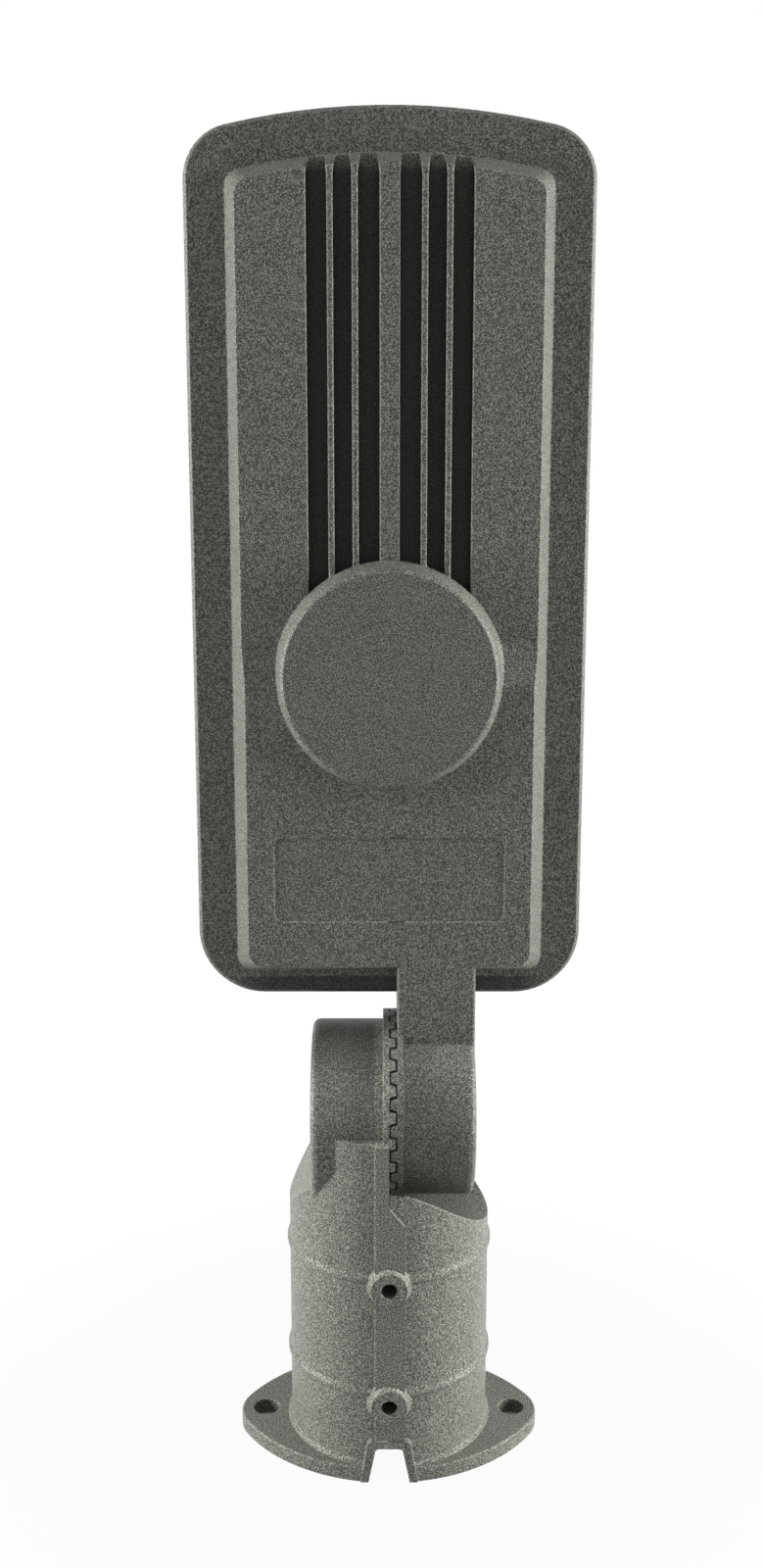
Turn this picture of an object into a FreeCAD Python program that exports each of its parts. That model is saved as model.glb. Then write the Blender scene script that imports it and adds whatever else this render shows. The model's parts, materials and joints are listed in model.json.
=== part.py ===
import FreeCAD, Part
import math
import os
from types import SimpleNamespace

import Sketcher
from FreeCAD import Placement, Rotation, Vector

# LED street light head on a pole sleeve, in millimetres.
# The sleeve stands along +Z with its open end at z = 0. The hinge line runs along X.
# The head's front faces -Y, its light shines towards +Y.
# Sketches of the head lie on planes parallel to XZ: "out" is the distance towards -Y,
# and their own y is the height above the hinge line.
# NEAR is how close an edge lies to the place that picks it. BITE is how far an added shape
# starts inside what it joins, and CLEAR and THROUGH are how far a cut starts and ends outside.

SIZES = {
    # pole sleeve
    "bore_radius": 30.5,
    "bore_depth": 74,
    "bore_bevel": 1.5,
    "sleeve_radius": 34,
    "hinge_height": 118.2,
    "shoulder_low": 87,
    "shoulder_high": 99.5,
    "web_low": 90,
    "web_full": 107,
    "web_inset": 8,
    "saddle_gap": 5.15,
    "flange_thickness": 5,
    "flange_half_length": 51.7,
    "flange_half_width": 36,
    "root_bevel": 1.2,
    "rim_bevel": 0.4,
    "ear_radius": 15.7,
    "ear_hole_radius": 4.6,
    "ear_hole_pitch": 86,
    "bead_low": 31.3,
    "bead_high": 71.6,
    "bead_half": 1.7,
    "bead_crest": 0.6,
    "bead_proud": 0.9,
    "rib_left": 4.6,
    "rib_right": 5,
    "rib_proud": 1.3,
    "rib_root": 2,
    "rib_jog_low": 91,
    "rib_jog_high": 97,
    "set_screw_low": 28,
    "set_screw_high": 69.6,
    "screw_boss_base": 7.9,
    "screw_boss_face": 5.9,
    "screw_boss_proud": 3.3,
    "set_screw_radius": 2.6,
    "notch_height": 12.2,
    "notch_top_half": 4.4,
    "notch_foot_half": 6.85,
    "notch_lip": 2.6,
    "lip_corner": 2.2,
    "lip_proud": 1.8,
    "lip_root": 6,
    "notch_corner": 1.4,
    # toothed knuckle
    "drum_radius": 29.2,
    "disc_radius": 32.6,
    "left_drum_face": 25.7,
    "right_drum_face": 28.2,
    "left_disc": 2,
    "right_disc": 2.3,
    "tooth_inner": 22,
    "tooth_zone": 2.5,
    "tooth_gap": 0.4,
    "tooth_count": 24,
    "tooth_root_share": 0.58,
    "tooth_tip_share": 0.44,
    "flank_gap": 0.26,
    "drum_round": 2.4,
    # clamp bolt
    "bolt_radius": 5,
    "bolt_head_radius": 8,
    "bolt_head_height": 10,
    "bolt_socket_flats": 8,
    "bolt_hole_gap": 0.4,
    "bolt_end": 1.5,
    "bolt_bevel": 1,
    "nut_flats": 17,
    "nut_height": 8.4,
    "nut_bore_gap": 0.12,
    "washer_radius": 10,
    "washer_thickness": 2,
    "spring_radius": 9,
    "spring_thickness": 2.4,
    "split_width": 1.2,
    "washer_gap": 0.4,
    "pocket_gap": 0.6,
    "seat_wall": 10.5,
    # head casting
    "pan_half_width": 63.1,
    "pan_bottom": 40.3,
    "pan_top": 319.8,
    "pan_crown_radius": 230,
    "pan_top_corner": 16.5,
    "pan_bottom_corner": 21.6,
    "pan_out": 1,
    "rim_back": 15.5,
    "pan_bevel": 1.1,
    "foot_half_width": 50.6,
    "foot_bottom": 48.2,
    "foot_top": 306.5,
    "low_out": 12.9,
    "bevel_side": 4.9,
    "bevel_bottom": 4.6,
    "bevel_top": 6.3,
    "housing_corner": 5,
    "high_out": 10.2,
    "ramp_low": 144.8,
    "ramp_high": 156.9,
    "ramp_round": 2.5,
    "groove_half": 25.3,
    "groove_floor": 1.6,
    "groove_start": 125,
    "bar_half": 3.1,
    "fin_half": 0.95,
    "fin_near": 10.6,
    "fin_far": 18.1,
    "fin_flare": 0.9,
    "flare_length": 9,
    "fin_edge": 0.3,
    "boss_height": 147.5,
    "boss_radius": 34,
    "boss_out": 17.7,
    "boss_wall_radius": 36.5,
    "boss_bevel": 0.7,
    "label_half": 37.1,
    "label_low": 68.1,
    "label_high": 96.1,
    "label_depth": 0.4,
    "label_corner": 3,
    "arm_left": 2.6,
    "arm_right": 28.2,
    "arm_back": 12,
    "arm_lap": 12,
    "arm_round": 1,
    # back of the head
    "pan_wall": 2.8,
    "ledge_back": 8.5,
    "housing_wall": 3.5,
    "divider": 154,
    "divider_half": 9,
    "bay_half": 42,
    "bay_bottom": 58,
    "led_bay_half": 45,
    "led_bay_top": 297,
    "gasket_thickness": 1.5,
    "gasket_gap": 0.4,
    "cover_thickness": 3,
    "cover_gap": 0.5,
    "board_thickness": 1.6,
    "board_gap": 2,
    "board_screw_inset": 3.5,
    "chip_half": 2.5,
    "chip_thickness": 1.3,
    "lens_radius": 7.5,
    "lens_height": 2.2,
    "lens_draft": 25,
    "led_pitch_u": 21,
    "led_pitch_v": 21,
    "led_first": 177,
    "led_rows": 6,
    "screw_radius": 2,
    "screw_head_radius": 3.6,
    "screw_head_height": 2,
    "screw_depth": 6,
    "screw_hole_gap": 0.1,
    "screw_edge": 8.6,
    "cover_screw_edge": 11.6,
    "lens_row_end": 5,
    "cover_row_end": 8,
    "divider_screws": 12,
    "driver_half": 30,
    "driver_low": 62,
    "driver_high": 118,
    "driver_height": 14,
    "case_bevel": 1,
    "ear_length": 6,
    "ear_half": 7,
    "ear_plate": 1.8,
    "small_screw_radius": 1.5,
    "small_head_radius": 2.7,
    "small_head_height": 1.6,
    "small_screw_depth": 2.2,
    "tip_gap": 0.3,
    "terminal_low": 127,
    "terminal_high": 139,
    "terminal_half": 22,
    "terminal_height": 12,
    "pole_pitch": 8,
    "terminal_screw_radius": 2.2,
    "well_gap": 0.3,
    "slot_half": 0.4,
    "slot_depth": 0.8,
    "earth_u": 35.5,
    "earth_v": 122,
    "earth_washer_radius": 4,
    "earth_washer_thickness": 0.8,
    "bush_radius": 1.6,
    "bush_wall": 1.0,
    "bush_lip": 0.7,
    "bush_u": 30,
    "bush_back": 5.2,
    "gland_u": 27,
    "gland_v": 88,
    "gland_thread_radius": 8,
    "gland_thread_length": 8,
    "gland_flats": 20,
    "gland_collar": 5,
    "gland_neck": 4,
    "neck_step": 0.5,
    "gland_cap_height": 11,
    "gland_cap_mouth": 6.5,
    "cap_bevel": 2.5,
    "cap_room": 2,
    "gland_lock_height": 3.5,
    "gland_bore": 4.5,
    "seal_wall": 1.6,
    "seal_depth": 3,
    "gland_gap": 0.15,
}

doc = FreeCAD.newDocument("street_light_head")
sheet = doc.addObject("Spreadsheet::Sheet", "dims")


class Size:
    """A number of the model: its value, and the sheet expression that it comes from."""

    def __init__(self, value, text):
        self.value = float(value)
        self.text = text

    def __add__(self, other):
        other = as_size(other)
        return Size(self.value + other.value, f"({self.text} + {other.text})")

    def __radd__(self, other):
        return as_size(other) + self

    def __sub__(self, other):
        other = as_size(other)
        return Size(self.value - other.value, f"({self.text} - {other.text})")

    def __rsub__(self, other):
        return as_size(other) - self

    def __mul__(self, other):
        other = as_size(other)
        return Size(self.value * other.value, f"({self.text} * {other.text})")

    def __rmul__(self, other):
        return as_size(other) * self

    def __truediv__(self, other):
        other = as_size(other)
        return Size(self.value / other.value, f"({self.text} / {other.text})")

    def __rtruediv__(self, other):
        return as_size(other) / self

    def __neg__(self):
        return as_size(0) - self


def as_size(number):
    return number if isinstance(number, Size) else Size(number, repr(number))


def root(size):
    return Size(math.sqrt(size.value), f"sqrt({size.text})")


def sine(angle):
    return Size(math.sin(math.radians(angle.value)), f"sin({angle.text})")


def cosine(angle):
    return Size(math.cos(math.radians(angle.value)), f"cos({angle.text})")


def fill_sheet():
    cells = {}
    for row, (name, value) in enumerate(SIZES.items(), 1):
        sheet.set(f"A{row}", name.replace("_", " "))
        sheet.set(f"B{row}", str(value))
        sheet.setAlias(f"B{row}", name)
        cells[name] = Size(value, f"dims.{name}")
    doc.recompute()
    return SimpleNamespace(**cells)


d = fill_sheet()
NOTHING = as_size(0)
THROUGH = as_size(4)
CLEAR = as_size(6)
BITE = as_size(1)
NEAR = 0.02
FULL_TURN = 360
LENS_SCREW_ROWS = 4
LED_COLUMNS = 4
tilt_step = FULL_TURN / 2 / d.tooth_count


def bind(thing, path, size):
    thing.setExpression(path, as_size(size).text)


def new_body(name, height=NOTHING):
    """A body whose frame stands at a height on the sleeve's axis."""
    body = doc.addObject("PartDesign::Body", name)
    body.Label = name
    bind(body, "Placement.Base.z", height)
    return body


def new_sketch(body, name, role, out=NOTHING, rise=NOTHING, turn=NOTHING):
    """A sketch parallel to an origin plane, moved along its normal and its own y, turned about its x."""
    sketch = body.newObject("Sketcher::SketchObject", name)
    plane = next(item for item in body.Origin.OriginFeatures if item.Role == role)
    sketch.AttachmentSupport = [(plane, "")]
    sketch.MapMode = "FlatFace"
    sketch.AttachmentOffset = Placement(Vector(), Rotation(Vector(1, 0, 0), as_size(turn).value))
    bind(sketch, "AttachmentOffset.Base.z", out)
    bind(sketch, "AttachmentOffset.Base.y", rise)
    if turn is not NOTHING:
        bind(sketch, "AttachmentOffset.Rotation.Angle", turn)
    return sketch


def pin(sketch, item, point, x, y):
    """Holds a point of the sketch at x, y from its origin."""
    for kind, size, axis in (("DistanceX", as_size(x), -2), ("DistanceY", as_size(y), -1)):
        if size.value == 0:
            sketch.addConstraint(Sketcher.Constraint("PointOnObject", item, point, axis))
            continue
        index = sketch.addConstraint(Sketcher.Constraint(kind, -1, 1, item, point, size.value))
        bind(sketch, f"Constraints[{index}]", size)


def flat(corner):
    return Vector(as_size(corner[0]).value, as_size(corner[1]).value, 0)


def arc_middle(start, end, radius, side):
    """The middle of the arc between two points; side 1 bulges to the right of the way there."""
    chord = end - start
    half = chord.Length / 2
    bulge = radius - math.sqrt(radius * radius - half * half)
    right = Vector(chord.y, -chord.x, 0).normalize()
    return (start + end) / 2 + right * bulge * side


def outline(sketch, corners, arcs=None):
    """A closed outline; arcs maps a side's number to the radius and the side of its bulge."""
    arcs = arcs or {}
    count = len(corners)
    ends = []
    for number, corner in enumerate(corners):
        start = flat(corner)
        end = flat(corners[(number + 1) % count])
        if number in arcs:
            radius, side = arcs[number]
            middle = arc_middle(start, end, as_size(radius).value, side)
            item = sketch.addGeometry(Part.Arc(start, middle, end), False)
            index = sketch.addConstraint(Sketcher.Constraint("Radius", item, as_size(radius).value))
            bind(sketch, f"Constraints[{index}]", radius)
        else:
            item = sketch.addGeometry(Part.LineSegment(start, end), False)
        first = 1 if sketch.getPoint(item, 1).distanceToPoint(start) < NEAR else 2
        ends.append((item, first))
        pin(sketch, item, first, *corner)
    for number, (item, first) in enumerate(ends):
        following, point = ends[(number + 1) % count]
        sketch.addConstraint(Sketcher.Constraint("Coincident", item, 3 - first, following, point))


def rectangle(sketch, left, right, low, high):
    outline(sketch, [(left, low), (right, low), (right, high), (left, high)])


def hexagon(sketch, flats, rise=NOTHING, across=NOTHING):
    """A hexagon with two flats parallel to the sketch's x."""
    corner = flats / root(as_size(3))
    half = flats / 2
    points = [(corner, NOTHING), (corner / 2, half), (-corner / 2, half)]
    points += [(-x, -y) for x, y in points]
    outline(sketch, [(across + x, rise + y) for x, y in points])


def circle(sketch, x, y, radius):
    centre = flat((x, y))
    item = sketch.addGeometry(Part.Circle(centre, Vector(0, 0, 1), as_size(radius).value), False)
    index = sketch.addConstraint(Sketcher.Constraint("Radius", item, as_size(radius).value))
    bind(sketch, f"Constraints[{index}]", radius)
    pin(sketch, item, 3, x, y)


def volume(body):
    return body.Shape.Volume if body.Tip else 0.0


def must_work(feature):
    if "Invalid" in feature.State or "Error" in feature.State:
        raise ValueError(f"{feature.Name} failed: {feature.getStatusString()}")


def add_feature(body, kind, name, profile, **settings):
    """Adds a feature on a profile and makes sure that it changes the body."""
    before = volume(body)
    feature = body.newObject("PartDesign::" + kind, name)
    feature.Profile = profile
    for key, value in settings.items():
        if isinstance(value, Size):
            bind(feature, key, value)
        else:
            setattr(feature, key, value)
    doc.recompute()
    must_work(feature)
    if abs(volume(body) - before) < NEAR:
        raise ValueError(f"{name} changes nothing")
    return feature


def pad(body, name, profile, length, **settings):
    return add_feature(body, "Pad", name, profile, Length=length, **settings)


def pocket(body, name, profile, length, **settings):
    return add_feature(body, "Pocket", name, profile, Length=length, **settings)


def revolve(body, name, profile, axis="H_Axis"):
    return add_feature(body, "Revolution", name, profile, ReferenceAxis=(profile, [axis]), Angle=FULL_TURN)


def loft(body, name, profile, section, kind="AdditiveLoft"):
    return add_feature(body, kind, name, profile, Sections=[section], Ruled=True)


def dress_edges(body, kind, name, field, size, chosen):
    """Dresses the edges of the body so far that the test chooses."""
    base = body.Tip
    names = [f"Edge{number}" for number, edge in enumerate(base.Shape.Edges, 1) if chosen(edge)]
    feature = body.newObject("PartDesign::" + kind, name)
    feature.Base = (base, names)
    bind(feature, field, size)
    doc.recompute()
    must_work(feature)


def round_edges(body, name, radius, chosen):
    dress_edges(body, "Fillet", name, "Radius", radius, chosen)


def bevel_edges(body, name, size, chosen):
    dress_edges(body, "Chamfer", name, "Size", size, chosen)


def stations(edge):
    first, last = edge.ParameterRange
    return [edge.valueAt(first + (last - first) * half / 2) for half in range(3)]


def lies(edge, **place):
    """True where the whole edge keeps the given coordinates."""
    return all(
        abs(getattr(point, axis) - as_size(size).value) < NEAR
        for point in stations(edge)
        for axis, size in place.items()
    )


def runs_along(edge, axis):
    """True for a straight edge parallel to an axis."""
    first, _, last = stations(edge)
    others = [other for other in "xyz" if other != axis]
    return all(abs(getattr(first, other) - getattr(last, other)) < NEAR for other in others)


# Toothed faces: wedge-shaped grooves cut into a flat ring leave teeth that mesh at every step.


def tooth_grooves(body, name, facing, base_x, height_line, turn):
    """Cuts the grooves between the teeth; facing is 1 where the teeth point along +X."""
    tip_x = base_x + facing * (d.tooth_zone - d.tooth_gap)
    beyond = tip_x + facing * d.tooth_gap
    reach = (beyond - base_x) / (tip_x - base_x)
    slope = sine(tilt_step) / cosine(tilt_step)
    sections = []
    for label, distance in (("inner", d.tooth_inner - 2), ("outer", d.disc_radius + 1)):
        out = distance * cosine(turn) if turn is not NOTHING else distance
        rise = height_line - distance * sine(turn) if turn is not NOTHING else height_line
        sketch = new_sketch(body, f"{name}_{label}", "XZ_Plane", out, rise, turn)
        root_half = distance * slope * (1 - d.tooth_root_share) + d.flank_gap
        tip_half = distance * slope * (1 - d.tooth_tip_share) + d.flank_gap
        mouth_half = root_half + (tip_half - root_half) * reach
        corners = [(base_x, -root_half), (beyond, -mouth_half), (beyond, mouth_half), (base_x, root_half)]
        outline(sketch, corners)
        sections.append(sketch)
    return loft(body, name, sections[0], sections[1], "SubtractiveLoft")


def ring_pattern(body, name, feature, axis):
    pattern = body.newObject("PartDesign::PolarPattern", name)
    pattern.Originals = [feature]
    pattern.Axis = axis
    pattern.Angle = FULL_TURN
    bind(pattern, "Occurrences", d.tooth_count)
    body.Tip = pattern
    doc.recompute()
    must_work(pattern)
    return pattern


def knuckle_profile(body, name, rise, facing, drum_face, disc_base, disc_thickness):
    """Half section of a drum with its toothed disc, turned about the hinge line."""
    sketch = new_sketch(body, name, "XZ_Plane", NOTHING, rise)
    outer = facing * -drum_face
    back = disc_base - facing * disc_thickness
    tip = disc_base + facing * (d.tooth_zone - d.tooth_gap)
    rounded = outer + facing * d.drum_round
    corners = [
        (outer, NOTHING),
        *rounded_corner(rounded, d.drum_radius - d.drum_round, -facing, 1),
        (back, d.drum_radius),
        (back, d.disc_radius),
        (tip, d.disc_radius),
        (tip, d.tooth_inner),
        (disc_base, d.tooth_inner),
        (disc_base, NOTHING),
    ]
    outline(sketch, corners)
    return sketch


def rounded_corner(across, rise, toward_x, toward_y):
    """Four points of the drum's rounded edge about its centre, from the x side to the y side."""
    long = d.drum_round * root(as_size(3)) / 2
    short = d.drum_round / 2
    return [
        (across + toward_x * d.drum_round, rise),
        (across + toward_x * long, rise + toward_y * short),
        (across + toward_x * short, rise + toward_y * long),
        (across, rise + toward_y * d.drum_round),
    ]


# Pole sleeve: barrel, flange, bead rings, set screw bosses, cable notch and the left half of the knuckle.


def flange_outline(sketch):
    ear = d.flange_half_length - d.ear_radius
    narrow = d.flange_half_width
    side = (ear * ear + narrow * narrow - d.ear_radius * d.ear_radius) / (2 * (narrow - d.ear_radius))
    x = ear * side / (side - d.ear_radius)
    y = (side - narrow) * d.ear_radius / (side - d.ear_radius)
    corners = [(x, -y), (x, y), (-x, y), (-x, -y)]
    outline(sketch, corners, {0: (d.ear_radius, 1), 1: (side, 1), 2: (d.ear_radius, 1), 3: (side, 1)})


def sleeve_barrel(body):
    barrel = new_sketch(body, "barrel_circle", "XY_Plane")
    circle(barrel, NOTHING, NOTHING, d.sleeve_radius)
    pad(body, "barrel", barrel, d.hinge_height)
    beyond = d.sleeve_radius + CLEAR
    side = new_sketch(body, "shoulder_side", "XZ_Plane", beyond)
    top = d.hinge_height + CLEAR
    corners = [
        (-beyond, d.shoulder_low),
        (-d.sleeve_radius, d.shoulder_low),
        (-d.left_drum_face, d.shoulder_high),
        (-d.left_drum_face, top),
        (-beyond, top),
    ]
    outline(side, corners)
    pocket(body, "shoulder", side, 2 * beyond)
    scoop = new_sketch(body, "saddle_circle", "YZ_Plane")
    circle(scoop, NOTHING, d.hinge_height, d.disc_radius + d.saddle_gap)
    pocket(body, "saddle", scoop, beyond, Reversed=True)


def web_outline(sketch, inset):
    """The web's section below the drum, rounded on its left corners, its front and back drawn in."""
    left = d.drum_round - d.left_drum_face
    right = -d.left_disc
    half = d.drum_radius - inset
    rise = half - d.drum_round
    corners = [
        *rounded_corner(left, -rise, -1, -1),
        (right, -half),
        (right, half),
        *reversed(rounded_corner(left, rise, -1, 1)),
    ]
    outline(sketch, corners)


def sleeve_web(body):
    """Walls from the drum's front and back down into the barrel, leaning in until they fade out."""
    low = new_sketch(body, "web_foot", "XY_Plane", d.web_low)
    web_outline(low, d.web_inset)
    full = new_sketch(body, "web_full", "XY_Plane", d.web_full)
    web_outline(full, NOTHING)
    loft(body, "web_flare", low, full)
    wall = new_sketch(body, "web_wall", "XY_Plane", d.web_full)
    web_outline(wall, NOTHING)
    pad(body, "web", wall, d.hinge_height - d.web_full)


def sleeve_flange(body):
    plate = new_sketch(body, "flange_plate", "XY_Plane")
    flange_outline(plate)
    pad(body, "flange", plate, d.flange_thickness)
    bevel_edges(body, "flange_root", d.root_bevel, is_flange_root)
    bevel_edges(body, "flange_edge", d.rim_bevel, is_flange_rim)


def is_flange_root(edge):
    return is_ring(edge, d.sleeve_radius, d.flange_thickness)


def is_flange_rim(edge):
    root_radius = d.sleeve_radius + d.root_bevel
    return lies(edge, z=d.flange_thickness) and not is_ring(edge, root_radius, d.flange_thickness)


def is_ring(edge, radius, height):
    """True for an arc of the given radius about the sleeve's axis at a height."""
    if not hasattr(edge.Curve, "Radius"):
        return False
    return lies(edge, z=height) and abs(edge.Curve.Radius - as_size(radius).value) < NEAR


def sleeve_front(body):
    lip = new_sketch(body, "lip_outline", "XZ_Plane", d.sleeve_radius - d.lip_root)
    top_half = d.notch_top_half + d.notch_lip
    foot_half = d.notch_foot_half + d.notch_lip
    high = d.notch_height + d.notch_lip
    shoulder = top_half + (foot_half - top_half) * d.lip_corner / high
    right = [(foot_half, NOTHING), (shoulder, high - d.lip_corner), (top_half - d.lip_corner, high)]
    outline(lip, mirrored(right), {1: (d.lip_corner, 1), 3: (d.lip_corner, 1)})
    pad(body, "notch_lip_pad", lip, d.lip_root + d.lip_proud)
    rib = new_sketch(body, "rib_outline", "XZ_Plane", d.sleeve_radius - d.rib_root)
    foot = d.notch_height + d.notch_lip / 2
    corners = [
        (-d.rib_left, foot),
        (d.rib_right, foot),
        (d.rib_right, d.rib_jog_low),
        (NOTHING, d.rib_jog_high),
        (NOTHING, d.hinge_height),
        (-d.rib_left, d.hinge_height),
    ]
    outline(rib, corners)
    pad(body, "rib", rib, d.rib_root + d.rib_proud)


def sleeve_beads(body):
    inner = d.sleeve_radius - BITE
    crest = d.sleeve_radius + d.bead_proud
    sketch = new_sketch(body, "bead_sections", "XZ_Plane")
    for height in (d.bead_low, d.bead_high):
        corners = [
            (inner, height - d.bead_half),
            (d.sleeve_radius, height - d.bead_half),
            (crest, height - d.bead_crest),
            (crest, height + d.bead_crest),
            (d.sleeve_radius, height + d.bead_half),
            (inner, height + d.bead_half),
        ]
        outline(sketch, corners)
    revolve(body, "beads", sketch, "V_Axis")


def sleeve_screw_bosses(body):
    face = d.sleeve_radius + d.screw_boss_proud
    root_plane = d.sleeve_radius - d.rib_root
    for label, height in (("low", d.set_screw_low), ("high", d.set_screw_high)):
        base = new_sketch(body, f"boss_base_{label}", "XZ_Plane", root_plane)
        circle(base, NOTHING, height, d.screw_boss_base)
        top = new_sketch(body, f"boss_face_{label}", "XZ_Plane", face)
        circle(top, NOTHING, height, d.screw_boss_face)
        loft(body, f"screw_boss_{label}", base, top)


def sleeve_holes(body):
    bore = new_sketch(body, "bore_circle", "XY_Plane")
    circle(bore, NOTHING, NOTHING, d.bore_radius)
    pocket(body, "bore", bore, d.bore_depth, Reversed=True)
    bevel_edges(body, "bore_end", d.bore_bevel, lambda edge: is_ring(edge, d.bore_radius, d.bore_depth))
    face = d.sleeve_radius + d.screw_boss_proud + BITE
    taps = new_sketch(body, "tapped_holes", "XZ_Plane", face)
    circle(taps, NOTHING, d.set_screw_low, d.set_screw_radius)
    circle(taps, NOTHING, d.set_screw_high, d.set_screw_radius)
    pocket(body, "set_screw_holes", taps, face - d.bore_radius + THROUGH)
    front = d.flange_half_width + BITE
    notch = new_sketch(body, "notch_outline", "XZ_Plane", front)
    slope = (d.notch_foot_half - d.notch_top_half) / d.notch_height
    low_half = d.notch_foot_half + slope * BITE
    corners = [
        (-low_half, -BITE),
        (low_half, -BITE),
        (d.notch_top_half, d.notch_height),
        (-d.notch_top_half, d.notch_height),
    ]
    outline(notch, corners)
    pocket(body, "cable_notch", notch, front - d.bore_radius + 2 * THROUGH)
    round_edges(body, "notch_corners", d.notch_corner, is_notch_corner)
    ears = new_sketch(body, "ear_holes", "XY_Plane")
    circle(ears, -d.ear_hole_pitch / 2, NOTHING, d.ear_hole_radius)
    circle(ears, d.ear_hole_pitch / 2, NOTHING, d.ear_hole_radius)
    pocket(body, "flange_holes", ears, d.flange_thickness + BITE, Reversed=True)


def is_notch_corner(edge):
    corner_x = d.notch_top_half.value
    points = stations(edge)
    upright = all(abs(point.z - d.notch_height.value) < NEAR for point in points)
    return upright and all(abs(abs(point.x) - corner_x) < NEAR for point in points) and points[1].y < 0


def sleeve_knuckle(body):
    face = d.left_drum_face
    profile = knuckle_profile(body, "drum_section", d.hinge_height, 1, face, NOTHING, d.left_disc)
    revolve(body, "drum", profile)
    return profile


def sleeve_bolt_holes(body, drum_section):
    start = d.left_drum_face + CLEAR
    hole = new_sketch(body, "bolt_hole_circle", "YZ_Plane", -start)
    circle(hole, NOTHING, d.hinge_height, d.bolt_radius + d.bolt_hole_gap)
    pocket(body, "bolt_hole", hole, start + THROUGH, Reversed=True)
    nut = new_sketch(body, "nut_outline", "YZ_Plane", -start)
    circle(nut, NOTHING, d.hinge_height, d.washer_radius + d.pocket_gap)
    pocket(body, "nut_pocket", nut, start - d.seat_wall, Reversed=True)
    groove = tooth_grooves(body, "tooth_groove", 1, NOTHING, d.hinge_height, tilt_step)
    ring_pattern(body, "teeth", groove, (drum_section, ["H_Axis"]))


def make_sleeve():
    body = new_body("pole_sleeve")
    sleeve_barrel(body)
    sleeve_flange(body)
    sleeve_beads(body)
    sleeve_front(body)
    sleeve_screw_bosses(body)
    sleeve_web(body)
    profile = sleeve_knuckle(body)
    sleeve_holes(body)
    sleeve_bolt_holes(body, profile)


# Clamp hardware: bolt from the right, nut in the left drum. All lie on the hinge line.


def make_ring(name, start, thickness, radius, hole):
    """A washer on the hinge line, from start towards +X."""
    body = new_body(name, d.hinge_height)
    sketch = new_sketch(body, name + "_circles", "YZ_Plane", start)
    circle(sketch, NOTHING, NOTHING, radius)
    circle(sketch, NOTHING, NOTHING, hole)
    pad(body, name + "_disc", sketch, thickness)
    return body


def make_clamp():
    hole = d.bolt_radius + d.washer_gap
    seat = d.tooth_zone + d.seat_wall
    nut_seat = -d.seat_wall
    make_ring("flat_washer", seat, d.washer_thickness, d.washer_radius, hole)
    spring = make_ring("spring_washer", seat + d.washer_thickness, d.spring_thickness, d.spring_radius, hole)
    cut = new_sketch(spring, "spring_split", "XZ_Plane", d.spring_radius + BITE)
    middle = seat + d.washer_thickness + d.spring_thickness / 2
    lean = d.spring_thickness
    low = middle - d.spring_thickness
    high = middle + d.spring_thickness
    outline(cut, [(low, -lean), (low, d.split_width - lean), (high, lean), (high, lean - d.split_width)])
    pocket(spring, "split", cut, d.spring_radius + BITE)
    make_ring("nut_washer", nut_seat - d.washer_thickness, d.washer_thickness, d.washer_radius, hole)
    nut = new_body("clamp_nut", d.hinge_height)
    face = new_sketch(nut, "nut_face", "YZ_Plane", nut_seat - d.washer_thickness - d.nut_height)
    hexagon(face, d.nut_flats)
    circle(face, NOTHING, NOTHING, d.bolt_radius + d.nut_bore_gap)
    pad(nut, "nut", face, d.nut_height)
    under_head = seat + d.washer_thickness + d.spring_thickness
    make_bolt(under_head, nut_seat - d.washer_thickness - d.nut_height - d.bolt_end)


def make_bolt(under_head, tip):
    body = new_body("clamp_bolt", d.hinge_height)
    section = new_sketch(body, "bolt_section", "XZ_Plane")
    head_end = under_head + d.bolt_head_height
    point = d.bolt_bevel
    corners = [
        (tip, NOTHING),
        (tip, d.bolt_radius - point),
        (tip + point, d.bolt_radius),
        (under_head, d.bolt_radius),
        (under_head, d.bolt_head_radius),
        (head_end - point, d.bolt_head_radius),
        (head_end, d.bolt_head_radius - point),
        (head_end, NOTHING),
    ]
    outline(section, corners)
    revolve(body, "bolt_turned", section)
    socket = new_sketch(body, "socket_outline", "YZ_Plane", head_end)
    hexagon(socket, d.bolt_socket_flats)
    pocket(body, "socket", socket, d.bolt_head_height / 2)


# Head casting: pan, raised housing with fins, round boss, arm and the right half of the knuckle.


def low_points(half, low, corner):
    """The right half of an outline's lower edge, rounded where a corner radius is given."""
    if corner is None:
        return [(half, low)]
    return [(half - corner, low), (half, low + corner)]


def mirrored(right):
    """Points of the right half, then of the left half, anticlockwise from the bottom."""
    return right + [(-x, y) for x, y in reversed(right)]


def crowned(sketch, half, low, top, crown, top_corner, low_corner=None):
    """An outline with straight sides, an arched top and rounded corners."""
    middle = top - crown
    inner = crown - top_corner
    centre_x = half - top_corner
    lift = root(inner * inner - centre_x * centre_x)
    reach = crown / inner
    right = low_points(half, low, low_corner)
    first = len(right)
    right += [(half, middle + lift), (centre_x * reach, middle + lift * reach)]
    arcs = {first: (top_corner, 1), first + 1: (crown, 1), first + 2: (top_corner, 1)}
    if low_corner is not None:
        arcs[0] = (low_corner, 1)
        arcs[2 * first + 2] = (low_corner, 1)
    outline(sketch, mirrored(right), arcs)


def lower_plate(sketch, half, low, high, corner):
    """A square-topped outline with rounded lower corners."""
    right = low_points(half, low, corner) + [(half, high)]
    outline(sketch, mirrored(right), {0: (corner, 1), 4: (corner, 1)})


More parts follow.
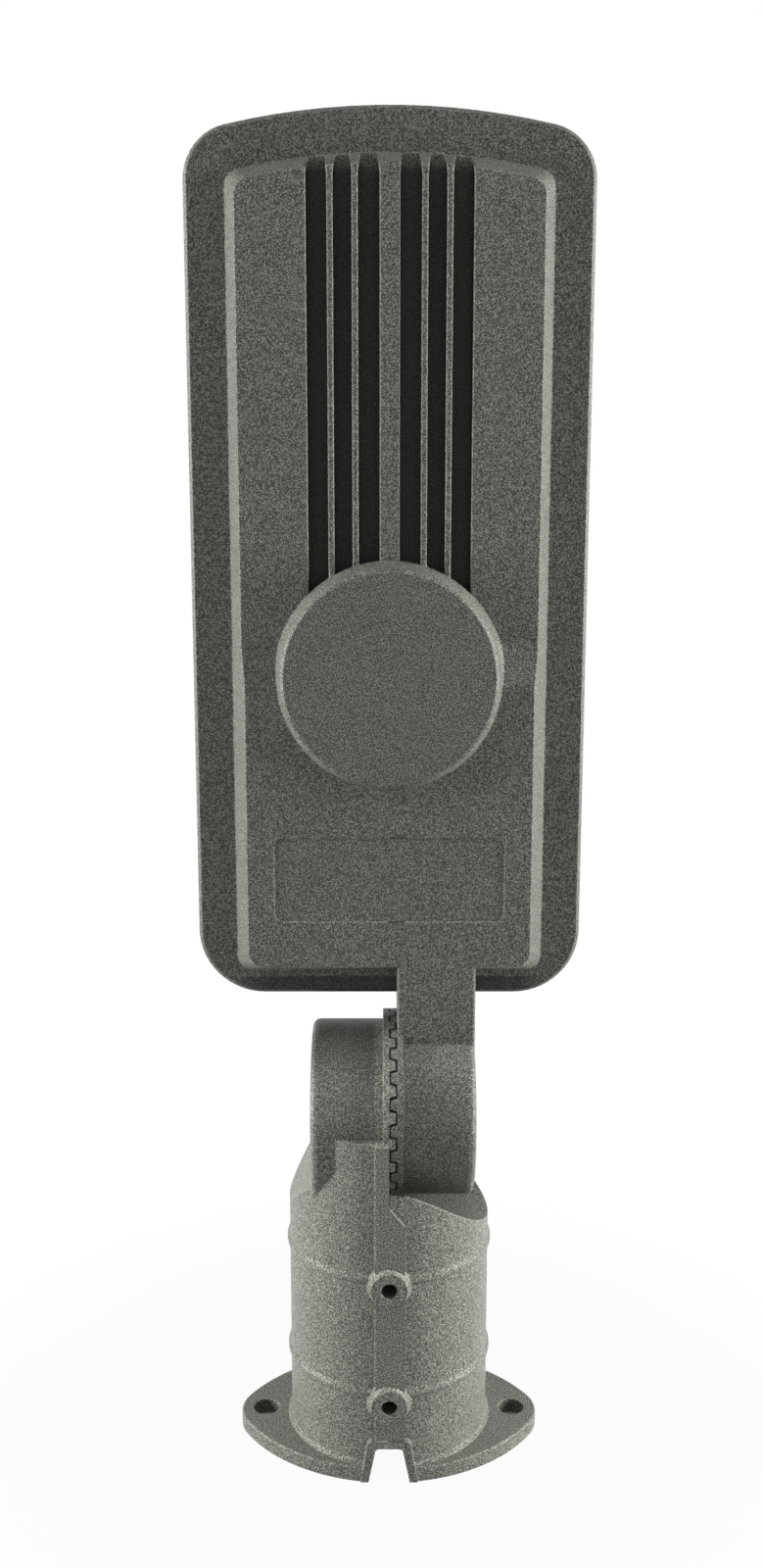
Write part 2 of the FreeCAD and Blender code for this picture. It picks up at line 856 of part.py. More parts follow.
def head_pan(body):
    pan = new_sketch(body, "pan_outline", "XZ_Plane", -d.rim_back)
    corners = (d.pan_top_corner, d.pan_bottom_corner)
    crowned(pan, d.pan_half_width, d.pan_bottom, d.pan_top, d.pan_crown_radius, *corners)
    pad(body, "pan", pan, d.rim_back + d.pan_out)
    bevel_edges(body, "pan_rim", d.pan_bevel, lambda edge: lies(edge, y=-d.pan_out))


def head_housing_block(body):
    foot = new_sketch(body, "housing_foot", "XZ_Plane", d.pan_out - BITE / 2)
    rise = d.low_out - d.pan_out
    foot_crown = d.pan_crown_radius - (d.pan_top - d.foot_top)
    corners = (d.housing_corner, d.housing_corner)
    crowned(foot, d.foot_half_width, d.foot_bottom, d.foot_top, foot_crown, *corners)
    face = new_sketch(body, "housing_face", "XZ_Plane", d.pan_out + rise)
    top = d.foot_top - d.bevel_top
    half = d.foot_half_width - d.bevel_side
    crowned(face, half, d.foot_bottom + d.bevel_bottom, top, foot_crown - d.bevel_top, *corners)
    loft(body, "housing", foot, face)


def head_zones(body):
    side = new_sketch(body, "zone_side", "YZ_Plane", d.pan_half_width)
    top = d.foot_top + CLEAR
    above = d.low_out + CLEAR
    corners = [
        (-d.high_out, top),
        (-d.high_out, d.ramp_high),
        (-d.low_out, d.ramp_low),
        (-above, d.ramp_low),
        (-above, top),
    ]
    outline(side, corners)
    pocket(body, "fin_zone", side, 2 * d.pan_half_width)
    round_edges(body, "ramp_ends", d.ramp_round, is_ramp_end)


def is_ramp_end(edge):
    if not runs_along(edge, "x"):
        return False
    foot = lies(edge, y=-d.high_out, z=d.ramp_high)
    return foot or lies(edge, y=-d.low_out, z=d.ramp_low)


def head_grooves(body):
    grooves = new_sketch(body, "groove_outlines", "XZ_Plane", d.boss_out)
    top = d.foot_top + BITE
    edges = [
        (d.bar_half, d.fin_near - d.fin_half),
        (d.fin_near + d.fin_half, d.fin_far - d.fin_half),
        (d.fin_far + d.fin_half, d.groove_half),
    ]
    for near, far in edges:
        for side in (-1, 1):
            groove_outline(grooves, side, near, far, top)
    pocket(body, "grooves", grooves, d.boss_out - d.groove_floor)
    bevel_edges(body, "fin_edges", d.fin_edge, is_fin_edge)


def groove_outline(sketch, side, near, far, top):
    """One groove between the fins, drawn in towards its open top end."""
    narrow = top - d.flare_length
    corners = [
        (near, d.groove_start),
        (far, d.groove_start),
        (far, narrow),
        (far - d.fin_flare, top),
        (near + d.fin_flare, top),
        (near, narrow),
    ]
    outline(sketch, [(side * x, y) for x, y in corners])


def is_fin_edge(edge):
    """True for the long front edges of the fins and of the flats beside them."""
    long_enough = edge.Length > d.flare_length.value
    inside = abs(stations(edge)[1].x) < d.groove_half.value + NEAR
    return inside and long_enough and runs_along(edge, "z") and lies(edge, y=-d.high_out)


def head_boss(body):
    low = d.groove_floor - BITE / 2
    base = new_sketch(body, "boss_base", "XZ_Plane", low)
    circle(base, NOTHING, d.boss_height, d.boss_wall_radius)
    pad(body, "boss_wall", base, d.high_out - low)
    middle = new_sketch(body, "boss_middle", "XZ_Plane", d.high_out)
    circle(middle, NOTHING, d.boss_height, d.boss_wall_radius)
    top = new_sketch(body, "boss_top", "XZ_Plane", d.boss_out)
    circle(top, NOTHING, d.boss_height, d.boss_radius)
    loft(body, "boss", middle, top)
    bevel_edges(body, "boss_rim", d.boss_bevel, lambda edge: lies(edge, y=-d.boss_out))


def head_label(body):
    sketch = new_sketch(body, "label_outline", "XZ_Plane", d.low_out + BITE)
    rectangle(sketch, -d.label_half, d.label_half, d.label_low, d.label_high)
    pocket(body, "label_recess", sketch, BITE + d.label_depth)
    round_edges(body, "label_corners", d.label_corner, is_label_corner)


def is_label_corner(edge):
    if not runs_along(edge, "y"):
        return False
    middle = stations(edge)[1]
    across = abs(abs(middle.x) - d.label_half.value) < NEAR
    return across and (lies(edge, z=d.label_low) or lies(edge, z=d.label_high))


def head_arm(body):
    side = new_sketch(body, "arm_side", "YZ_Plane", d.arm_left)
    rectangle(side, -d.low_out, d.arm_back, NOTHING, d.foot_bottom + d.arm_lap)
    pad(body, "arm", side, d.arm_right - d.arm_left)
    round_edges(body, "arm_edges", d.arm_round, is_arm_edge)


def is_arm_edge(edge):
    if not runs_along(edge, "z"):
        return False
    sides = (d.arm_left, d.arm_right)
    return any(lies(edge, x=side) for side in sides) and stations(edge)[1].z < d.pan_bottom.value


def head_drum(body):
    face = d.right_drum_face
    profile = knuckle_profile(body, "drum_section", NOTHING, -1, face, d.tooth_zone, d.right_disc)
    revolve(body, "drum", profile)
    return profile


def head_knuckle_cuts(body, profile):
    start = d.right_drum_face + CLEAR
    hole = new_sketch(body, "bolt_hole_circle", "YZ_Plane", start)
    circle(hole, NOTHING, NOTHING, d.bolt_radius + d.bolt_hole_gap)
    pocket(body, "bolt_hole", hole, start + THROUGH)
    sink = new_sketch(body, "bolt_recess_circle", "YZ_Plane", start)
    circle(sink, NOTHING, NOTHING, d.washer_radius + d.pocket_gap)
    pocket(body, "bolt_recess", sink, start - d.tooth_zone - d.seat_wall)
    groove = tooth_grooves(body, "tooth_groove", -1, d.tooth_zone, NOTHING, NOTHING)
    ring_pattern(body, "teeth", groove, (profile, ["H_Axis"]))


def bay_ceiling():
    return d.low_out - d.housing_wall


def board_seat():
    return d.groove_floor - d.housing_wall


def head_back(body):
    """Recess for the covers, then the LED bay and the driver bay behind its ledge."""
    recess = new_sketch(body, "recess_outline", "XZ_Plane", -d.rim_back - BITE)
    inner = d.pan_half_width - d.pan_wall
    low = d.pan_bottom + d.pan_wall
    top = d.pan_top - d.pan_wall
    corners = (d.pan_top_corner - d.pan_wall, d.pan_bottom_corner - d.pan_wall)
    crowned(recess, inner, low, top, d.pan_crown_radius - d.pan_wall, *corners)
    pocket(body, "cover_recess", recess, d.rim_back + BITE - d.ledge_back, Reversed=True)
    led_bay = new_sketch(body, "led_bay_outline", "XZ_Plane", -d.rim_back)
    half = d.led_bay_half
    rectangle(led_bay, -half, half, d.divider + d.divider_half, d.led_bay_top)
    pocket(body, "led_bay", led_bay, d.rim_back + board_seat(), Reversed=True)
    bay = new_sketch(body, "driver_bay_outline", "XZ_Plane", -d.rim_back)
    rectangle(bay, -d.bay_half, d.bay_half, d.bay_bottom, d.divider - d.divider_half)
    pocket(body, "driver_bay", bay, d.rim_back + bay_ceiling(), Reversed=True)


def screw_rows():
    """Places of the cover screws: the lens plate's first, then the driver cover's."""
    top = d.led_bay_top - d.lens_row_end
    bottom = d.divider + d.divider_screws
    step = (top - bottom) / (LENS_SCREW_ROWS - 1)
    rows = range(LENS_SCREW_ROWS)
    lens_column = d.pan_half_width - d.screw_edge
    lens = [(side * lens_column, bottom + step * row) for side in (-1, 1) for row in rows]
    low = d.bay_bottom + d.cover_row_end
    high = d.divider - d.divider_screws
    middle = (low + high) / 2
    cover_column = d.pan_half_width - d.cover_screw_edge
    cover = [(side * cover_column, height) for side in (-1, 1) for height in (low, middle, high)]
    return lens, cover


def driver_screw_places():
    middle = (d.driver_low + d.driver_high) / 2
    return [(side * (d.driver_half + d.ear_length / 2), middle) for side in (-1, 1)]


def board_screw_places():
    reach = d.led_bay_half - d.board_gap - d.board_screw_inset
    middle = d.led_first + (d.led_rows - 1) * d.led_pitch_v / 2
    step = 2 * d.led_pitch_v
    return [(side * reach, middle + way * step) for side in (-1, 1) for way in (-1, 0, 1)]


def head_screw_holes(body):
    lens, cover = screw_rows()
    holes = new_sketch(body, "cover_screw_holes", "XZ_Plane", -d.rim_back)
    for x, y in lens + cover:
        circle(holes, x, y, d.screw_radius + d.screw_hole_gap)
    pocket(body, "cover_taps", holes, d.rim_back - d.ledge_back + d.screw_depth, Reversed=True)
    small = d.small_screw_radius + d.screw_hole_gap
    driver = new_sketch(body, "driver_screw_holes", "XZ_Plane", NOTHING)
    for x, y in driver_screw_places() + [(d.earth_u, d.earth_v)]:
        circle(driver, x, y, small)
    pocket(body, "driver_taps", driver, bay_ceiling() + d.small_screw_depth, Reversed=True)
    board = new_sketch(body, "board_screw_holes", "XZ_Plane", -d.ledge_back)
    for x, y in board_screw_places():
        circle(board, x, y, small)
    pocket(body, "board_taps", board, d.ledge_back + board_seat() + d.small_screw_depth, Reversed=True)
    passage = new_sketch(body, "wire_passage", "XY_Plane", d.divider - d.divider_half - BITE)
    circle(passage, d.bush_u, d.bush_back, d.bush_radius + d.bush_wall)
    pocket(body, "passage", passage, 2 * (d.divider_half + BITE), Reversed=True)


def make_head():
    body = new_body("head_housing", d.hinge_height)
    head_pan(body)
    head_housing_block(body)
    head_zones(body)
    head_grooves(body)
    head_boss(body)
    head_arm(body)
    head_label(body)
    profile = head_drum(body)
    head_back(body)
    head_screw_holes(body)
    head_knuckle_cuts(body, profile)


# Inner pieces of the head. Each stands on the wall or ledge that carries it.


def make_screws(name, places, under_head, depth, radius, head_radius, head_height):
    """A group of equal screws: shanks towards the front, heads towards the back."""
    body = new_body(name, d.hinge_height)
    shanks = new_sketch(body, "shanks", "XZ_Plane", under_head)
    heads = new_sketch(body, "heads", "XZ_Plane", under_head)
    for x, y in places:
        circle(shanks, x, y, radius)
        circle(heads, x, y, head_radius)
    pad(body, "shank_pads", shanks, depth)
    pad(body, "head_pads", heads, head_height, Reversed=True)


def cover_low():
    return d.pan_bottom + d.pan_wall + d.cover_gap


def make_covers():
    lens_places, cover_places = screw_rows()
    inner = d.pan_half_width - d.pan_wall - d.cover_gap
    crown = d.pan_crown_radius - d.pan_wall - d.cover_gap
    top = d.pan_top - d.pan_wall - d.cover_gap
    top_corner = d.pan_top_corner - d.pan_wall - d.cover_gap
    low_corner = d.pan_bottom_corner - d.pan_wall - d.cover_gap
    split = d.divider + d.cover_gap / 2
    plate_face = -d.ledge_back - d.gasket_thickness
    hole = d.screw_radius + d.screw_hole_gap
    for name, thickness, start in (
        ("lens_gasket", d.gasket_thickness, -d.ledge_back),
        ("lens_plate", d.cover_thickness, plate_face),
    ):
        body = new_body(name, d.hinge_height)
        sketch = new_sketch(body, name + "_outline", "XZ_Plane", start)
        crowned(sketch, inner, split, top, crown, top_corner)
        if name == "lens_gasket":
            window = d.led_bay_half + d.gasket_gap
            low = d.divider + d.divider_half - d.gasket_gap
            rectangle(sketch, -window, window, low, d.led_bay_top + d.gasket_gap)
        for x, y in lens_places:
            circle(sketch, x, y, hole)
        pad(body, name + "_sheet", sketch, thickness, Reversed=True)
        if name == "lens_plate":
            add_lenses(body, start - thickness)
    for name, thickness, start in (
        ("cover_gasket", d.gasket_thickness, -d.ledge_back),
        ("driver_cover", d.cover_thickness, plate_face),
    ):
        body = new_body(name, d.hinge_height)
        sketch = new_sketch(body, name + "_outline", "XZ_Plane", start)
        high = d.divider - d.cover_gap / 2
        lower_plate(sketch, inner, cover_low(), high, low_corner)
        if name == "cover_gasket":
            window = d.bay_half + d.gasket_gap
            low = d.bay_bottom - d.gasket_gap
            rectangle(sketch, -window, window, low, d.divider - d.divider_half + d.gasket_gap)
        else:
            circle(sketch, -d.gland_u, d.gland_v, d.gland_thread_radius + d.gland_gap)
        for x, y in cover_places:
            circle(sketch, x, y, hole)
        pad(body, name + "_sheet", sketch, thickness, Reversed=True)


def led_columns():
    return [(2 * column + 1 - LED_COLUMNS) * d.led_pitch_u / 2 for column in range(LED_COLUMNS)]


def repeat_rows(body, name, feature, sketch):
    """Repeats the first row of lenses or chips up the board."""
    rows = body.newObject("PartDesign::LinearPattern", name)
    rows.Originals = [feature]
    rows.Direction = (sketch, ["V_Axis"])
    bind(rows, "Length", (d.led_rows - 1) * d.led_pitch_v)
    bind(rows, "Occurrences", d.led_rows)
    body.Tip = rows
    doc.recompute()
    must_work(rows)


def add_lenses(body, face):
    sketch = new_sketch(body, "lens_circles", "XZ_Plane", face)
    for x in led_columns():
        circle(sketch, x, d.led_first, d.lens_radius)
    row = pad(body, "lens_row", sketch, d.lens_height, Reversed=True, TaperAngle=-d.lens_draft)
    repeat_rows(body, "lenses", row, sketch)


def make_led_board():
    seat = board_seat()
    body = new_body("led_board", d.hinge_height)
    sketch = new_sketch(body, "board_outline", "XZ_Plane", seat)
    half = d.led_bay_half - d.board_gap
    low = d.divider + d.divider_half + d.board_gap
    rectangle(sketch, -half, half, low, d.led_bay_top - d.board_gap)
    for x, y in board_screw_places():
        circle(sketch, x, y, d.small_screw_radius + d.screw_hole_gap)
    pad(body, "board", sketch, d.board_thickness, Reversed=True)
    chips = new_body("led_chips", d.hinge_height)
    face = seat - d.board_thickness
    sketch = new_sketch(chips, "chip_outlines", "XZ_Plane", face)
    low = d.led_first - d.chip_half
    high = d.led_first + d.chip_half
    for x in led_columns():
        rectangle(sketch, x - d.chip_half, x + d.chip_half, low, high)
    row = pad(chips, "chip_row", sketch, d.chip_thickness, Reversed=True)
    repeat_rows(chips, "chips", row, sketch)
    make_screws(
        "board_screws",
        board_screw_places(),
        face,
        d.board_thickness + d.small_screw_depth - d.tip_gap,
        d.small_screw_radius,
        d.small_head_radius,
        d.small_head_height,
    )


def make_driver():
    ceiling = bay_ceiling()
    body = new_body("led_driver", d.hinge_height)
    case = new_sketch(body, "driver_case", "XZ_Plane", ceiling)
    rectangle(case, -d.driver_half, d.driver_half, d.driver_low, d.driver_high)
    pad(body, "case", case, d.driver_height, Reversed=True)
    bevel_edges(body, "case_edges", d.case_bevel, lambda edge: lies(edge, y=d.driver_height - ceiling))
    ears = new_sketch(body, "driver_ears", "XZ_Plane", ceiling)
    middle = (d.driver_low + d.driver_high) / 2
    reach = d.driver_half + d.ear_length
    rectangle(ears, -reach, reach, middle - d.ear_half, middle + d.ear_half)
    pad(body, "ears", ears, d.ear_plate, Reversed=True)
    holes = new_sketch(body, "ear_holes", "XZ_Plane", ceiling + BITE)
    for x, y in driver_screw_places():
        circle(holes, x, y, d.small_screw_radius + d.screw_hole_gap)
    pocket(body, "ear_hole_cut", holes, d.ear_plate + BITE + THROUGH)
    make_screws(
        "driver_screws",
        driver_screw_places(),
        ceiling - d.ear_plate,
        d.ear_plate + d.small_screw_depth - d.tip_gap,
        d.small_screw_radius,
        d.small_head_radius,
        d.small_head_height,
    )


def make_terminal():
    ceiling = bay_ceiling()
    body = new_body("terminal_block", d.hinge_height)
    block = new_sketch(body, "block_outline", "XZ_Plane", ceiling)
    rectangle(block, -d.terminal_half, d.terminal_half, d.terminal_low, d.terminal_high)
    pad(body, "block", block, d.terminal_height, Reversed=True)
    wells = new_sketch(body, "screw_wells", "XZ_Plane", ceiling - d.terminal_height)
    middle = (d.terminal_low + d.terminal_high) / 2
    places = [(d.pole_pitch * way, middle) for way in (-2, -1, 0, 1, 2)]
    depth = d.terminal_height / 3
    for x, y in places:
        circle(wells, x, y, d.terminal_screw_radius + d.well_gap)
    pocket(body, "wells", wells, depth, Reversed=True)
    screws = new_body("terminal_screws", d.hinge_height)
    discs = new_sketch(screws, "screw_circles", "XZ_Plane", ceiling - d.terminal_height + depth)
    for x, y in places:
        circle(discs, x, y, d.terminal_screw_radius)
    pad(screws, "screw_discs", discs, depth / 2, Reversed=True)
    reach = d.terminal_screw_radius + d.well_gap
    slots = new_sketch(screws, "screw_slots", "XZ_Plane", ceiling - d.terminal_height + depth / 2)
    for x, y in places:
        rectangle(slots, x - reach, x + reach, y - d.slot_half, y + d.slot_half)
    pocket(screws, "slots", slots, d.slot_depth, Reversed=True)


def make_earth():
    ceiling = bay_ceiling()
    washer = new_body("earth_washer", d.hinge_height)
    ring = new_sketch(washer, "earth_ring", "XZ_Plane", ceiling)
    circle(ring, d.earth_u, d.earth_v, d.earth_washer_radius)
    circle(ring, d.earth_u, d.earth_v, d.small_screw_radius + d.screw_hole_gap)
    pad(washer, "ring", ring, d.earth_washer_thickness, Reversed=True)
    make_screws(
        "earth_screw",
        [(d.earth_u, d.earth_v)],
        ceiling - d.earth_washer_thickness,
        d.earth_washer_thickness + d.small_screw_depth - d.tip_gap,
        d.small_screw_radius,
        d.small_head_radius,
        d.small_head_height,
    )


def make_bush():
    """Rubber bush in the wall between the bays, with a lip at each end."""
    body = new_body("wire_bush", d.hinge_height)
    outer = d.bush_radius + d.bush_wall - d.screw_hole_gap
    low = d.divider - d.divider_half
    tube = new_sketch(body, "bush_tube", "XY_Plane", low - d.bush_lip)
    circle(tube, d.bush_u, d.bush_back, outer)
    circle(tube, d.bush_u, d.bush_back, d.bush_radius)
    pad(body, "tube", tube, 2 * d.divider_half + 2 * d.bush_lip)
    for label, height in (("low", low - d.bush_lip), ("high", low + 2 * d.divider_half)):
        lip = new_sketch(body, "bush_lip_" + label, "XY_Plane", height)
        circle(lip, d.bush_u, d.bush_back, outer + d.bush_lip)
        circle(lip, d.bush_u, d.bush_back, d.bush_radius)
        pad(body, "lip_" + label, lip, d.bush_lip)


def make_gland():
    """Cable gland through the driver cover: body, dome cap, seal and lock nut."""
    inside = -d.ledge_back - d.gasket_thickness
    outside = inside - d.cover_thickness
    place = (-d.gland_u, d.gland_v)
    body = new_body("gland_body", d.hinge_height)
    thread = new_sketch(body, "gland_thread", "XZ_Plane", outside)
    circle(thread, *place, d.gland_thread_radius)
    pad(body, "thread", thread, d.gland_thread_length)
    collar = new_sketch(body, "gland_collar_outline", "XZ_Plane", outside)
    hexagon(collar, d.gland_flats, place[1], place[0])
    pad(body, "collar", collar, d.gland_collar, Reversed=True)
    neck = new_sketch(body, "gland_neck_circle", "XZ_Plane", outside - d.gland_collar)
    circle(neck, *place, d.gland_thread_radius - d.neck_step)
    pad(body, "neck", neck, d.gland_neck, Reversed=True)
    bore = new_sketch(body, "gland_bore_circle", "XZ_Plane", outside + d.gland_thread_length + BITE)
    circle(bore, *place, d.gland_bore + d.seal_wall)
    pocket(body, "bore", bore, d.gland_thread_length + d.gland_collar + d.gland_neck + 2 * BITE)
    cap_start = outside - d.gland_collar
    make_gland_cap(place, cap_start)
    seal = new_body("gland_seal", d.hinge_height)
    ring = new_sketch(seal, "seal_ring", "XZ_Plane", cap_start + d.seal_depth)
    circle(ring, *place, d.gland_bore + d.seal_wall - d.gland_gap)
    circle(ring, *place, d.gland_bore)
    pad(seal, "ring", ring, d.gland_cap_height, Reversed=True)
    lock = new_body("gland_locknut", d.hinge_height)
    face = new_sketch(lock, "lock_outline", "XZ_Plane", inside)
    hexagon(face, d.gland_flats, place[1], place[0])
    circle(face, *place, d.gland_thread_radius + d.gland_gap)
    pad(lock, "lock", face, d.gland_lock_height)


def make_gland_cap(place, start):
    cap = new_body("gland_cap", d.hinge_height)
    outline_sketch = new_sketch(cap, "cap_outline", "XZ_Plane", start)
    circle(outline_sketch, *place, d.gland_flats / 2)
    pad(cap, "cap_block", outline_sketch, d.gland_cap_height, Reversed=True)
    end = d.gland_cap_height - start
    bevel_edges(cap, "cap_dome", d.cap_bevel, lambda edge: lies(edge, y=end))
    hollow = new_sketch(cap, "cap_hollow", "XZ_Plane", start)
    circle(hollow, *place, d.gland_thread_radius - d.neck_step + d.gland_gap)
    pocket(cap, "cap_thread", hollow, d.gland_neck + d.cap_room)
    mouth = new_sketch(cap, "cap_mouth", "XZ_Plane", start)
    circle(mouth, *place, d.gland_cap_mouth)
    pocket(cap, "mouth", mouth, d.gland_cap_height + BITE)


def make_all():
    make_sleeve()
    make_clamp()
    make_head()
    make_covers()
    make_led_board()
    make_driver()
    make_terminal()
    make_earth()
    make_bush()
    make_gland()
    lens_places, cover_places = screw_rows()
    under_head = -d.ledge_back - d.gasket_thickness - d.cover_thickness
    depth = d.cover_thickness + d.gasket_thickness + d.screw_depth - d.tip_gap
    for name, places in (("lens_screws", lens_places), ("cover_screws", cover_places)):
        make_screws(name, places, under_head, depth, d.screw_radius, d.screw_head_radius, d.screw_head_height)


def write_parts():
    doc.recompute()
    bad = [item.Name for item in doc.Objects if "Invalid" in item.State or "Error" in item.State]
    if bad:
        raise ValueError(f"failed objects: {bad}")
    bodies = [item for item in doc.Objects if item.TypeId == "PartDesign::Body"]
    for body in bodies:
        if body.Shape.isNull() or not body.Shape.isValid():
            raise ValueError(f"{body.Label} has no valid shape")
    os.makedirs("parts", exist_ok=True)
    for body in bodies:
        body.Shape.exportStep(f"parts/{body.Label}.step")
        print(f"{body.Label}: {len(body.Shape.Solids)} solids, {body.Shape.Volume:.0f} mm3")


make_all()
write_parts()
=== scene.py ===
# %% [markdown]
# # A street light head in textured grey powder coat
# The solids of this lamp are already right, so this lesson is about light and finish:
# a camera that stands where a photographer stood, soft lights at both sides, and materials
# that have the grain of the real surfaces. Only the screws on the back get new meshes.

# %% The frame
import json
import math

import bmesh
import bpy
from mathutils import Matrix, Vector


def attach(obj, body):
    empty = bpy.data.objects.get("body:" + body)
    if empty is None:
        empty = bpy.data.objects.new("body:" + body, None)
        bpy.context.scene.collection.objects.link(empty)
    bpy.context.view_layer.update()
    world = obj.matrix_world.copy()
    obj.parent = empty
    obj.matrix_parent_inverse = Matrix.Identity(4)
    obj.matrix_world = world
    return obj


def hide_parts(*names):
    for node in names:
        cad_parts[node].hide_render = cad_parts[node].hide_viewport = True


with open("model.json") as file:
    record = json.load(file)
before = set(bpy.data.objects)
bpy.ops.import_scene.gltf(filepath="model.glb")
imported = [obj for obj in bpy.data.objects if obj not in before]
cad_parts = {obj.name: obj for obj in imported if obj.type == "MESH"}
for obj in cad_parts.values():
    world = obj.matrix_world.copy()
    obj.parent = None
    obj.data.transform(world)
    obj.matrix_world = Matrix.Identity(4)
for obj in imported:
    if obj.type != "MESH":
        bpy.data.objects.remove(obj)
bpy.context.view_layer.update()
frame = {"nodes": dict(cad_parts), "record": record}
nodes = frame["nodes"]

MM = 0.001

# %% [markdown]
# ## The camera
# The photograph shows the lamp from the front and a little from above. The lens height,
# its distance and its tilt were worked out from the round sleeve and the straight head.
# A sensor of 36 mm along the picture's long side turns the field of view into a lens length.

# %% Camera
PICTURE_HEIGHT = 1600
FOCAL_PIXELS = 1615.7
SENSOR = 36.0
CAMERA_PLACE = (-2.54 * MM, -507.5 * MM, 328.6 * MM)
CAMERA_DROP = math.radians(11.06)

camera_data = bpy.data.cameras.new("camera")
camera_data.sensor_width = SENSOR
camera_data.lens = SENSOR * FOCAL_PIXELS / PICTURE_HEIGHT
camera = bpy.data.objects.new("camera", camera_data)
camera.location = CAMERA_PLACE
camera.rotation_euler = (math.pi / 2 - CAMERA_DROP, 0, 0)
scene = bpy.context.scene
scene.collection.objects.link(camera)
scene.camera = camera
scene.view_settings.view_transform = "Standard"
print("lens in mm:", round(camera_data.lens, 2))

# %% [markdown]
# ## Colours and nodes
# Colours are chosen as sRGB hex values, the way a paint card gives them, and shaders want
# linear light, so one function converts. Another adds a shader node, sets its fields and
# fills its sockets with plain values or with links from earlier nodes.


# %% Colours and nodes
def linear(hex_colour):
    """An sRGB hex colour as linear red, green, blue and an alpha of 1."""
    parts = [int(hex_colour[i : i + 2], 16) / 255 for i in (1, 3, 5)]
    return [p / 12.92 if p <= 0.04045 else ((p + 0.055) / 1.055) ** 2.4 for p in parts] + [1.0]


def add(tree, kind, sockets=None, **settings):
    """A new node. Sockets are given by name or number, as a value or as another node's output."""
    made = tree.nodes.new(kind)
    for field, value in settings.items():
        setattr(made, field, value)
    for key, value in (sockets or {}).items():
        if isinstance(value, bpy.types.NodeSocket):
            tree.links.new(value, made.inputs[key])
        else:
            made.inputs[key].default_value = value
    return made


def new_material(name):
    """An empty material with its output node; returns the material, its tree and the output."""
    material = bpy.data.materials.new(name)
    material.use_nodes = True
    tree = material.node_tree
    tree.nodes.clear()
    return material, tree, add(tree, "ShaderNodeOutputMaterial")


print("mid grey #808080 in linear light:", round(linear("#808080")[0], 3))

# %% [markdown]
# ## Where on the lamp
# Some stretches of the coat are painted darker or lighter, as painted shade and painted
# highlights. Such stretches could be painted into an image, but a shader can also ask where
# it is. So each stretch is a box with soft sides. A limit names a coordinate and two places
# in millimetres: where the box isn't yet, and where it is in full. The coordinates are the
# object's own, so the stretches move with the lamp when it tilts.


# %% Where on the lamp
def coordinates(tree):
    """The surface's x, y and z in metres, and how far aside of the middle it lies."""
    place = add(tree, "ShaderNodeTexCoord").outputs["Object"]
    axes = add(tree, "ShaderNodeSeparateXYZ", {0: place}).outputs
    aside = add(tree, "ShaderNodeMath", {0: axes["X"]}, operation="ABSOLUTE").outputs[0]
    return {"x": axes["X"], "y": axes["Y"], "z": axes["Z"], "aside": aside}


def distance(tree, across, along, centre):
    """How far a pair of coordinates lies from a centre given in millimetres."""
    spot = add(tree, "ShaderNodeCombineXYZ", {0: across, 1: along}).outputs[0]
    sockets = {0: spot, 1: (centre[0] * MM, centre[1] * MM, 0)}
    return add(tree, "ShaderNodeVectorMath", sockets, operation="DISTANCE").outputs["Value"]


def product(tree, factors):
    """All the factors multiplied."""
    result = 1.0
    for factor in factors:
        result = add(tree, "ShaderNodeMath", {0: result, 1: factor}, operation="MULTIPLY").outputs[0]
    return result


def blend(tree, where, limits, outside, inside):
    """A number that changes softly from the outside of all the limits to their inside."""
    steps = []
    for name, zero, one in limits:
        sockets = {"Value": where[name], "From Min": zero * MM, "From Max": one * MM}
        step = add(tree, "ShaderNodeMapRange", sockets, interpolation_type="SMOOTHSTEP")
        steps.append(step.outputs["Result"])
    sockets = {"Value": product(tree, steps), "To Min": outside, "To Max": inside}
    return add(tree, "ShaderNodeMapRange", sockets, interpolation_type="SMOOTHSTEP").outputs["Result"]


# %% [markdown]
# ## The teeth
# Two rings of teeth face each other in the knuckle. Below their rim, between them, the colour
# is painted almost black as painted shade, and that makes the zigzag line crisp. The zone
# runs from the sleeve's tooth roots to the back of the head's ring.

# %% Stretches at the teeth
HINGE = 118.2
TOOTH_RIM = 32.6
ZONE_WIDTH = 4.8

tooth_zone = [
    ("x", -0.3, -0.1),
    ("x", ZONE_WIDTH + 0.3, ZONE_WIDTH + 0.1),
    ("hinge", 0.6 * TOOTH_RIM, 0.7 * TOOTH_RIM),
]
below_rim = ("hinge", TOOTH_RIM - 0.15, TOOTH_RIM - 0.9)
# Painted shade: below the teeth's rim the colour is taken almost to black.
painted_tooth_gap_shade = (0.12, tooth_zone + [below_rim])
print("teeth and the ring behind them in mm:", ZONE_WIDTH)

# %% [markdown]
# ## The head's painted shade and light
# The floors of the grooves between the fins get painted shade. So does the pan, which lies
# deeper than the housing, and the strip below the housing's foot gets a painted shadow. The
# slanted band beside the round boss gets painted shade on one side and a painted highlight
# on the other. Each stretch is a factor on the colour and its limits.

# %% Stretches of the head
FIN_FRONT = -10.2
GROOVE_HALF = 25.6
GROOVE_LOW = 280
GROOVE_TOP = 423.5
# Painted shade on the groove floors between the fins.
painted_groove_shade = (
    0.22,
    [
        ("y", FIN_FRONT + 0.5, FIN_FRONT + 2.2),
        ("aside", GROOVE_HALF + 0.3, GROOVE_HALF),
        ("z", GROOVE_TOP, GROOVE_TOP - 7),
        ("z", GROOVE_LOW, GROOVE_LOW + 2),
    ],
)

